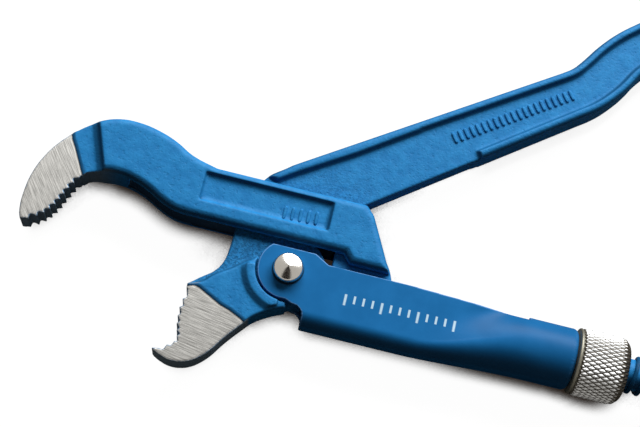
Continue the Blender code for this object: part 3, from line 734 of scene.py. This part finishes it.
def stroke_row_tree():
    """A row of raised strokes with rounded ends, each standing across the row."""
    tree, given, out = shape_tree(
        "stroke_row", [("Tall", 0.004), ("Wide", 0.001), ("Proud", 0.0004), ("Turn", 0.0)],
        [("Start", "NodeSocketVector", None), ("End", "NodeSocketVector", None),
         ("Count", "NodeSocketInt", 8)])
    size = given.outputs
    row = node(tree, "GeometryNodeMeshLine", {
        "Count": size["Count"], "Start Location": size["Start"], "Offset": size["End"]}, mode="END_POINTS")
    bar = node(tree, "GeometryNodeMeshCube", {"Vertices X": 5, "Vertices Y": 9, "Vertices Z": 4})
    size_box = node(tree, "ShaderNodeCombineXYZ", {
        "X": size["Wide"], "Y": size["Tall"], "Z": times(tree, size["Proud"], 2.0)})
    put(tree, bar.inputs["Size"], size_box.outputs[0])
    spot = own_place(tree)
    # the upper half narrows into a soft crown
    up = maths(tree, "MAXIMUM", maths(tree, "DIVIDE", spot.outputs["Z"], size["Proud"]), 0.0)
    narrow = maths(tree, "MULTIPLY_ADD", times(tree, up, up), -0.35, 1.0)
    shorter = maths(tree, "MULTIPLY_ADD", times(tree, up, up), -0.10, 1.0)
    share_y = maths(tree, "DIVIDE", times(tree, spot.outputs["Y"], 2.0), size["Tall"])
    tip = maths(tree, "POWER", maths(tree, "ABSOLUTE", share_y), 6.0)
    narrow = times(tree, narrow, maths(tree, "MULTIPLY_ADD", tip, -0.45, 1.0))
    shaped = node(tree, "ShaderNodeCombineXYZ", {
        "X": times(tree, spot.outputs["X"], narrow),
        "Y": times(tree, spot.outputs["Y"], shorter), "Z": spot.outputs["Z"]})
    crowned = moved(tree, bar, shaped)
    turn = node(tree, "ShaderNodeCombineXYZ", {"Z": size["Turn"]})
    spread = node(tree, "GeometryNodeInstanceOnPoints", {
        "Points": row.outputs[0], "Instance": crowned.outputs[0], "Rotation": turn.outputs[0]})
    finish_tree(tree, out, spread.outputs[0])
    return tree


# Pieces
def soft_but_teeth(points, saw, reach, ground):
    """Smoothing weights: least near the teeth, less on the ground faces and full elsewhere."""
    away = line_distance(points, saw)
    plain = 0.3 + 0.7 * ramp(outline_distance(points, ground), 0.0, 2.0 * MM)
    return np.minimum(0.02 + 0.98 * ramp(away, reach * 0.6, reach), plain)


def add_forging_masks(mesh, ground, sand, streak, slate_reach):
    """Masks for the forging's paint: ground is the ground face's outline in plan, and sand a function."""
    points = points_of(mesh)
    normals = normals_of(mesh)
    outside = outline_distance(points, ground)
    inside = -outside
    off = np.abs(points[:, 2] - MIDDLE)
    face = ramp(off, JAW_HALF - 0.75 * MM, JAW_HALF - 0.55 * MM)
    level = ramp(np.abs(normals[:, 2]), 0.80, 0.90) * face
    # the bare face, the step round it darkened as painted shade, and a painted highlight along the steel's
    # border inside that
    add_mask(mesh, "ground", level * ramp(inside, 0.42 * MM, 0.60 * MM))
    step = ramp(inside, -0.80 * MM, -0.40 * MM) * (1 - ramp(inside, 0.40 * MM, 0.60 * MM))
    add_mask(mesh, "step", face * step)
    painted_glint = ramp(inside, 0.45 * MM, 0.60 * MM) * (1 - ramp(inside, 0.85 * MM, 1.15 * MM))
    add_mask(mesh, "painted_glint", level * painted_glint)
    # faces turned towards the middle plane, such as the slot's, which get painted shade
    add_mask(mesh, "inner", ramp(-normals[:, 2] * np.sign(points[:, 2] - MIDDLE), 0.20, 0.50))
    add_mask(mesh, "lee", lee_mask(normals))
    # the bare walls beside the ground face, with the teeth among them
    wall = 1 - ramp(np.abs(normals[:, 2]), 0.55, 0.85)
    cheek = ramp(off, JAW_HALF - 0.3 * MM, JAW_HALF) * ramp(-normals[:, 0], 0.2, 0.5)
    add_mask(mesh, "slate", wall * (1 - ramp(outside, slate_reach / 4, slate_reach)) * (1 - cheek))
    edge = edge_mask(mesh)
    add_mask(mesh, "edge", np.where(edge > 0, edge * ramp(outside, 0.2 * MM, 1.5 * MM), edge))
    add_mask(mesh, "sand", sand(points, off))
    add_mask(mesh, "streak", np.full(len(points), streak))


def upper_forging():
    """The upper jaw's lever, its spindle turned down to the thread's root."""
    piece = forged(node_copy("upper_jaw_lever", "upper_forging"), FORGING_VOXEL, FORGING_PASSES,
                   lambda points: soft_but_teeth(points, UPPER_SAW, 3.4 * MM, UPPER_GROUND))
    mesh = piece.data
    points = points_of(mesh)
    x = points[:, 0]
    threaded = ramp(x, THREAD_START - 0.5 * MM, THREAD_START + 1.5 * MM)
    threaded *= 1 - ramp(x, THREAD_END - 1.5 * MM, THREAD_END + 1.0 * MM)
    threaded *= axis_radius(points) < THREAD_R + 0.3 * MM
    draw_in(mesh, points, 1 + threaded * (THREAD_ROOT / THREAD_R - 1))

    def sand(points, off):
        return 0.15 * ramp(off, 0.0, ARM_HALF)

    add_forging_masks(mesh, UPPER_GROUND, sand, UPPER_STREAK, 12.0 * MM)
    # painted shade over the spindle's threaded part
    for name in ("step", "lee"):
        add_mask(mesh, name, np.maximum(read_mask(mesh, name), threaded))
    mesh.materials.append(FORGED_PAINT)
    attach(piece, "upper_lever")
    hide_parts("upper_jaw_lever")


def lower_forging():
    """The lower jaw's lever, its neck sandy near the rivet and less so above the arm."""
    piece = forged(node_copy("lower_jaw_lever", "lower_forging"), FORGING_VOXEL, FORGING_PASSES,
                   lambda points: soft_but_teeth(points, LOWER_SAW, 3.0 * MM, LOWER_GROUND))

    def sand(points, off):
        near_rivet = 1 - ramp(np.hypot(points[:, 0], points[:, 1]), 30 * MM, 42 * MM)
        neck = near_rivet * (1 - ramp(off, NECK_HALF + 0.1 * MM, NECK_HALF + 0.7 * MM))
        above_arm = ramp(points[:, 1], 20 * MM, 27 * MM)
        return 0.18 + 0.62 * neck * (1 - 0.65 * above_arm)

    add_forging_masks(piece.data, LOWER_GROUND, sand, LOWER_STREAK, 1.6 * MM)
    piece.data.materials.append(FORGED_PAINT)
    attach(piece, "lower_lever")
    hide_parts("lower_jaw_lever")


def prism(name, outline, half):
    """An upright block with this outline, as thick either side of the tool's middle."""
    work = bmesh.new()
    floor = [work.verts.new((x, y, MIDDLE - half)) for x, y in outline]
    roof = [work.verts.new((x, y, MIDDLE + half)) for x, y in outline]
    work.faces.new(floor[::-1])
    work.faces.new(roof)
    for index in range(len(outline)):
        after = (index + 1) % len(outline)
        work.faces.new((floor[index], floor[after], roof[after], roof[index]))
    return object_from(name, work)


def trim(piece, tool, operation):
    """Cuts the piece with a block, which goes."""
    step = piece.modifiers.new("trim", "BOOLEAN")
    step.operation = operation
    step.object = tool
    step.solver = "EXACT"
    baked(piece)
    bpy.data.objects.remove(tool, do_unlink=True)


# Where the channel's floor and its top edges begin to turn into the tube, and where the tube is whole
BLEND_START = 36.0 * MM
EDGE_BLEND_START = 62.0 * MM
TUBE_START = 76.0 * MM
BLEND_STEPS = 60
SECTION_STEPS = 42


def channel_half(count):
    """Half of the channel, from the middle of its floor up its side: (across, up)."""
    corner = count * 4 // 7
    section = [(0.0, -CHANNEL_FLOOR)]
    for step in range(corner):
        angle = math.pi / 2 * step / (corner - 1)
        section.append((EAR_OUTER - CHANNEL_CORNER * (1 - math.sin(angle)),
                        -CHANNEL_FLOOR + CHANNEL_CORNER * (1 - math.cos(angle))))
    low = -CHANNEL_FLOOR + CHANNEL_CORNER
    rest = count - corner
    for step in range(1, rest + 1):
        section.append((EAR_OUTER, low + (EAR_TOP + 0.3 * MM - low) * step / rest))
    return section


def tube_half(count):
    """Half of the tube, from its lowest line round to the seam."""
    turn_end = math.pi - math.asin(0.5 * MM / TUBE_R)
    angles = [turn_end * step / count for step in range(count + 1)]
    return [(TUBE_R * math.sin(angle), AXIS_Y - TUBE_R * math.cos(angle)) for angle in angles]


def sleeve_sheet():
    """The sheet lofted from a channel into a tube, with its wall."""
    channel = channel_half(SECTION_STEPS)
    tube = tube_half(SECTION_STEPS)
    blend = [BLEND_START + (TUBE_START - BLEND_START) * step / BLEND_STEPS for step in range(BLEND_STEPS + 1)]
    stations = [-13.0 * MM, 0.0, 10.0 * MM] + blend + [SLEEVE_END]
    rows = []
    work = bmesh.new()
    for x in stations:
        row = []
        for side in (-1, 1):
            places = []
            for index, (near, far) in enumerate(zip(channel, tube)):
                begin = BLEND_START + (EDGE_BLEND_START - BLEND_START) * (index / SECTION_STEPS) ** 3
                share = min(max((x - begin) / (TUBE_START - begin), 0.0), 1.0)
                share = share * share * (3 - 2 * share)
                across = near[0] + (far[0] - near[0]) * share
                places.append((x, near[1] + (far[1] - near[1]) * share, MIDDLE + side * across))
            row += places[::-1] if side < 0 else places[1:]
        rows.append([work.verts.new(place) for place in row])
    for row, following in zip(rows, rows[1:]):
        for index in range(len(row) - 1):
            work.faces.new((row[index], row[index + 1], following[index + 1], following[index]))
    bmesh.ops.recalc_face_normals(work, faces=work.faces)
    piece = object_from("pressed_sleeve", work)
    wall = piece.modifiers.new("wall", "SOLIDIFY")
    wall.thickness = SHEET
    wall.use_even_offset = True
    # the wall grows inwards, whichever way the faces came to point
    middle = piece.data.polygons[len(piece.data.polygons) // 2]
    out_y, out_z = middle.center.y - AXIS_Y, middle.center.z - MIDDLE
    wall.offset = -1.0 if middle.normal.y * out_y + middle.normal.z * out_z > 0 else 1.0
    return baked(piece)


def sleeve_outline():
    """The sleeve's outline in plan: the ear, the hollow below it, the tube's end and the top edges."""
    ear = [math.radians(132.0 + (278.0 - 132.0) * step / 48) for step in range(49)]
    outline = [(EAR_R * math.cos(angle), EAR_R * math.sin(angle)) for angle in ear]
    hollow = [(3.4, -9.8), (5.1, -10.0), (6.25, -10.8), (6.9, -11.7), (7.1, -12.6), (7.1, -20.0)]
    tube_and_top = [(95.0, -20.0), (95.0, 4.7), (73.5, 4.7), (73.5, 3.0), (38.0, 4.2), (11.5, 4.2)]
    outline += [(x * MM, y * MM) for x, y in hollow + tube_and_top]
    return outline + [(7.0 * MM, EAR_TOP)]


def roll_tube_end(mesh):
    """Rolls the tube's end edge over towards the nut."""
    points = points_of(mesh)
    roll = 1.7 * MM
    radius = axis_radius(points)
    over = np.clip(points[:, 0] - (SLEEVE_END - roll), 0.0, roll)
    most = TUBE_R - roll + np.sqrt(np.maximum(roll ** 2 - over ** 2, 0.0))
    draw_in(mesh, points, np.where((over > 0) & (radius > most), most / np.maximum(radius, MM), 1.0))


def pressed_sleeve():
    """The sleeve, trimmed to its outline and pierced for the rivet."""
    piece = sleeve_sheet()
    trim(piece, prism("outline", sleeve_outline(), 12.0 * MM), "INTERSECT")
    angles = [math.tau * step / 48 for step in range(48)]
    hole = [(RIVET_HOLE_R * math.cos(angle), RIVET_HOLE_R * math.sin(angle)) for angle in angles]
    trim(piece, prism("hole", hole, 9.0 * MM), "DIFFERENCE")
    forged(piece, SHEET_VOXEL, SHEET_PASSES, lambda points: np.ones(len(points)))
    mesh = piece.data
    roll_tube_end(mesh)
    add_mask(mesh, "edge", edge_mask(mesh))
    normals = normals_of(mesh)
    # painted shade: slopes turned away, faces turned to the tool's upper side, and the tube, darker towards
    # its end
    upper_side_shade = 0.7 * ramp(normals[:, 1], 0.05, 0.50)
    tube = 0.65 * ramp(points_of(mesh)[:, 0], 60.0 * MM, 90.0 * MM)
    add_mask(mesh, "lee", np.maximum(np.maximum(0.75 * lee_mask(normals), upper_side_shade), tube))
    mesh.materials.append(SHEET_PAINT)
    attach(piece, "sleeve_unit")
    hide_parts("sleeve")


def spindle_thread():
    """The thread's painted ridge, sunk a little into the spindle's root."""
    start = THREAD_START + (THREAD_CREST - THREAD_PITCH / 2 - THREAD_START) % THREAD_PITCH
    turns = (THREAD_END - start) / THREAD_PITCH
    piece = run_tree("spindle_thread", thread_tree(), FORGED_PAINT, {
        "Radius": THREAD_R - 0.03 * MM, "Pitch": THREAD_PITCH, "Turns": turns,
        "Ridge Height": THREAD_R - THREAD_ROOT + 0.15 * MM, "Crest": 1.0 * MM, "Foot": 2.1 * MM,
        "Start": start, "Axis Y": AXIS_Y, "Axis Z": MIDDLE})
    # the ridge darkened with painted shade through its step, shade and edge masks
    add_plain_masks(piece.data, step=1.0, lee=0.6, edge=-0.32, sand=0.1)
    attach(piece, "upper_lever")


def turned_mesh(name, profile, centre, along_x, segments):
    """A turned solid with smooth sides: profile points are (radius, place) down the outer side."""
    work = bmesh.new()
    rings = []
    for radius, place in profile:
        ring = []
        for step in range(segments):
            angle = math.tau * step / segments
            a, b = radius * math.cos(angle), radius * math.sin(angle)
            at = (place, a, b) if along_x else (a, b, place)
            ring.append(work.verts.new(Vector(at) + Vector(centre)))
        rings.append(ring)
    for ring, following in zip(rings, rings[1:]):
        for step in range(segments):
            after = (step + 1) % segments
            work.faces.new((ring[step], ring[after], following[after], following[step]))
    bmesh.ops.remove_doubles(work, verts=work.verts, dist=0.001 * MM)
    bmesh.ops.recalc_face_normals(work, faces=work.faces)
    made = object_from(name, work)
    shade_smooth(made.data)
    return made


def rivet():
    """One polished rivet: a button head with a shallow cone on each side, and the pin between them."""
    skirt = [(4.30, 0.05), (4.43, 0.25), (4.45, 0.90), (4.45, 1.70)]
    shoulder = [(3.6 + 0.85 * math.cos(angle), 1.70 + 1.25 * math.sin(angle))
                for angle in np.linspace(0.12, 1.30, 9)]
    tip = [(2.6, 3.46), (1.3, 3.90), (0.7, 4.09), (0.35, 4.25), (0.15, 4.36), (0.05, 4.40)]
    outline = [(radius * MM, RIVET_HEAD_BASE + rise * MM) for radius, rise in skirt + shoulder + tip]
    front = [(0.0, outline[-1][1])] + outline[::-1] + [(RIVET_PIN_R, RIVET_HEAD_BASE)]
    back = [(radius, -place) for radius, place in reversed(front)]
    piece = turned_mesh("pivot_rivet_dome", front + back, (0.0, 0.0, MIDDLE), False, 96)
    piece.data.materials.append(RIVET_STEEL)
    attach(piece, "sleeve_unit")
    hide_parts("pivot_rivet")


def nut():
    """The nut's turned body, with its collar and plain band, and the knurled ring round it."""
    bore = THREAD_R + 0.3 * MM
    band_r = NUT_R - 0.40 * MM
    under_knurl = NUT_R - 0.9 * MM
    knurl_start = NUT_START + 1.0 * MM
    end_round = 3.4 * MM
    edge = 0.5 * MM
    neck_r, collar_r = 6.8 * MM, 7.2 * MM
    collar = [(neck_r, COLLAR_START), (collar_r, COLLAR_START + 0.3 * MM), (collar_r, COLLAR_END),
              (neck_r, COLLAR_END), (neck_r, NUT_START)]
    band_start = [(band_r - edge * (1 - math.sin(angle)), NUT_START + edge * (1 - math.cos(angle)))
                  for angle in np.linspace(0.0, math.pi / 2, 9)]
    band_end = [(band_r, knurl_start - 0.35 * MM), (under_knurl, knurl_start)]
    back = [(under_knurl, NUT_END - end_round), (NUT_R - end_round, NUT_END - 0.15 * MM),
            (NUT_R - 3.7 * MM, NUT_END), (bore + edge, NUT_END), (bore, NUT_END - edge)]
    profile = [(bore, COLLAR_START)] + collar + band_start + band_end + back + [(bore, COLLAR_START)]
    body = turned_mesh("nut_body", profile, (0.0, AXIS_Y, MIDDLE), True, 96)
    body.data.materials.append(BAND_STEEL)
    ring = run_tree("nut_knurl", knurl_tree(), KNURL_STEEL, {
        "Radius": NUT_R, "Length": NUT_END - knurl_start, "Depth": 0.60 * MM, "End Round": end_round,
        "Start": knurl_start, "Axis Y": AXIS_Y, "Axis Z": MIDDLE, "Round": 44.0, "Along": 4.6,
        "Steps Round": 480.0, "Steps Along": 110.0})
    for piece in (body, ring):
        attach(piece, "nut")
    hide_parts("adjusting_nut")


def grip_place(along, across, height):
    """A place on the upper grip, along and across it from the rivet."""
    return Vector((along * math.cos(GRIP_ANGLE) - across * math.sin(GRIP_ANGLE),
                   along * math.sin(GRIP_ANGLE) + across * math.cos(GRIP_ANGLE), height))


def stroke_rows():
    """Plain raised strokes on the grip's web and in the arm's panel."""
    tree = stroke_row_tree()
    web = MIDDLE + NECK_HALF
    panel = MIDDLE + ARM_HALF - 1.4 * MM
    grip = run_tree("grip_strokes", tree, FORGED_PAINT, {
        "Start": grip_place(64 * MM, 20.2 * MM, web), "End": grip_place(104 * MM, 19.8 * MM, web),
        "Count": 21, "Tall": 3.7 * MM, "Wide": 1.2 * MM, "Proud": 0.5 * MM, "Turn": GRIP_ANGLE})
    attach(grip, "lower_lever")
    mark = run_tree("panel_strokes", tree, FORGED_PAINT, {
        "Start": Vector((-5.0 * MM, 16.6 * MM, panel)), "End": Vector((4.6 * MM, 17.2 * MM, panel)),
        "Count": 5, "Tall": 4.4 * MM, "Wide": 1.1 * MM, "Proud": 0.5 * MM, "Turn": 0.0})
    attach(mark, "upper_lever")
    for piece in (grip, mark):
        add_plain_masks(piece.data, sand=0.15)


# Floor, light and camera
def four_sided(name, corners):
    mesh = bpy.data.meshes.new(name)
    mesh.from_pydata(corners, [], [(0, 1, 2, 3)])
    return new_object(name, mesh)


def pale_floor():
    """A white floor with a painted shadow only close under the tool, which throws little light back up."""
    floor = four_sided("floor", [(-3.0, -3.0, 0.0), (3.0, -3.0, 0.0), (3.0, 3.0, 0.0), (-3.0, 3.0, 0.0)])
    floor.location.z = -0.2 * MM
    made, tree, shader = new_material("pale_floor", 1.0)
    made.cycles.emission_sampling = "NONE"
    tree.nodes.remove(shader)
    rays = tree.nodes.new("ShaderNodeLightPath")
    # the painted shadow: how open the floor is just around, and how far it lies under the tool
    close = node(tree, "ShaderNodeAmbientOcclusion", {"Distance": 7.0 * MM}, samples=16)
    closed_in = node(tree, "ShaderNodeAmbientOcclusion", {"Distance": 30.0 * MM}, samples=8)
    clear = times(tree, stretch(tree, close.outputs["AO"], 0.50, 0.92),
                  stretch(tree, closed_in.outputs["AO"], 0.22, 0.36))
    tone = blend_colour(tree, clear, (0.02, 0.013, 0.009, 1.0), (1.0, 1.0, 1.0, 1.0))
    seen = node(tree, "ShaderNodeEmission", {"Color": tone, "Strength": 0.98})
    lit = node(tree, "ShaderNodeBsdfDiffuse", {"Color": (0.09, 0.09, 0.09, 1.0)})
    both = node(tree, "ShaderNodeAddShader", {0: seen.outputs[0], 1: lit.outputs[0]})
    dim = node(tree, "ShaderNodeBsdfDiffuse", {"Color": (0.12, 0.112, 0.105, 1.0)})
    choice = node(tree, "ShaderNodeMixShader", {
        0: rays.outputs["Is Camera Ray"], 1: dim.outputs[0], 2: both.outputs[0]})
    put(tree, tree.nodes["Material Output"].inputs["Surface"], choice.outputs[0])
    floor.data.materials.append(made)


def dark_card():
    """A dark board behind the camera, seen only in what shines."""
    board = four_sided("dark_card", [
        (-0.24, -0.62, 0.56), (0.24, -0.62, 0.56), (0.24, -0.06, 0.74), (-0.24, -0.06, 0.74)])
    made, _, shader = new_material("dark_board", 0.9)
    shader.inputs["Base Color"].default_value = (0.02, 0.012, 0.006, 1.0)
    board.data.materials.append(made)
    board.visible_camera = False
    board.visible_diffuse = False
    board.visible_shadow = False


def lights():
    """One broad lamp beyond the tool, and a warm world that shows mostly in what shines."""
    place, target = Vector((0.20, 0.98, 0.70)), Vector((0.03, 0.03, 0.01))
    data = bpy.data.lights.new("key_light", "AREA")
    data.shape = "RECTANGLE"
    data.size, data.size_y = 1.5, 0.7
    data.energy = 31.5
    lamp = new_object("key_light", data)
    lamp.location = place
    lamp.rotation_mode = "QUATERNION"
    lamp.rotation_quaternion = (target - place).to_track_quat("-Z", "Y")
    world = bpy.data.worlds.new("studio")
    bpy.context.scene.world = world
    world.use_nodes = True
    tree = world.node_tree
    back = tree.nodes["Background"]
    back.inputs["Color"].default_value = (1.0, 0.95, 0.88, 1.0)
    rays = tree.nodes.new("ShaderNodeLightPath")
    put(tree, back.inputs["Strength"], stretch(tree, rays.outputs["Is Glossy Ray"], 0.0, 1.0, 0.06, 0.55))


def camera():
    """The photo's angle; the focal length is 1570 of the picture's 640 pixels."""
    data = bpy.data.cameras.new("camera")
    data.sensor_width = 36
    data.lens = 1570 / 640 * data.sensor_width
    data.clip_start = 0.01
    data.clip_end = 10
    made = new_object("camera", data)
    turn = Matrix(((0.97095, -0.23926, 0.00145), (0.22796, 0.92321, -0.30938), (0.07268, 0.30073, 0.95094)))
    made.matrix_world = Matrix.Translation((0.00593, -0.12614, 0.46292)) @ turn.to_4x4()
    bpy.context.scene.camera = made


upper_forging()
lower_forging()
pressed_sleeve()
spindle_thread()
rivet()
nut()
stroke_rows()
pale_floor()
dark_card()
lights()
camera()
bpy.context.scene.view_settings.view_transform = "Standard"
